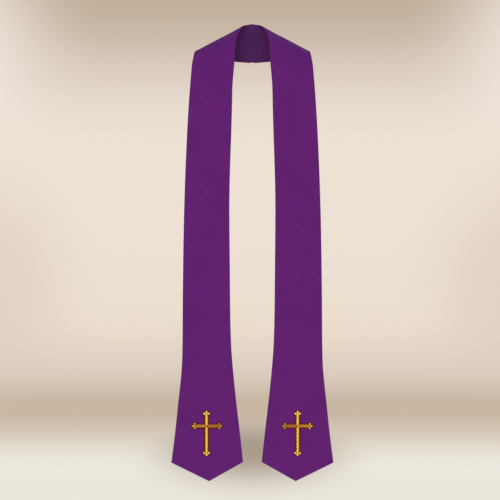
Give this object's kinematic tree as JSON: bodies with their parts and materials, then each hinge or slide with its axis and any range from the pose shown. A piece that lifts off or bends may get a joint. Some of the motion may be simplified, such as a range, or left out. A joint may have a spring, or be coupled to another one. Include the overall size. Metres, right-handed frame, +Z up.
{
  "type": "clerical stole",
  "caption": "Long narrow vestment worn round the neck: two lined cloth halves joined at the back, hanging over the shoulders to flared pointed ends with raised crosses.",
  "frame": {"origin": "the middle of the neck, level with the top of the shoulder fold", "axes": "+Z up, the front faces -Y, +X towards the wearer's left"},
  "size_m": [0.4588, 0.1492, 1.2976],
  "materials": {
    "purple_cloth": "matt woven cloth",
    "dark_lining": "smooth lining cloth",
    "gold_thread": "satin embroidery thread"
  },
  "bodies": {
    "root": {"left_face": "purple_cloth", "right_face": "purple_cloth", "left_lining": "dark_lining", "right_lining": "dark_lining", "left_cross": "gold_thread", "right_cross": "gold_thread"}
  },
  "joints": []
}
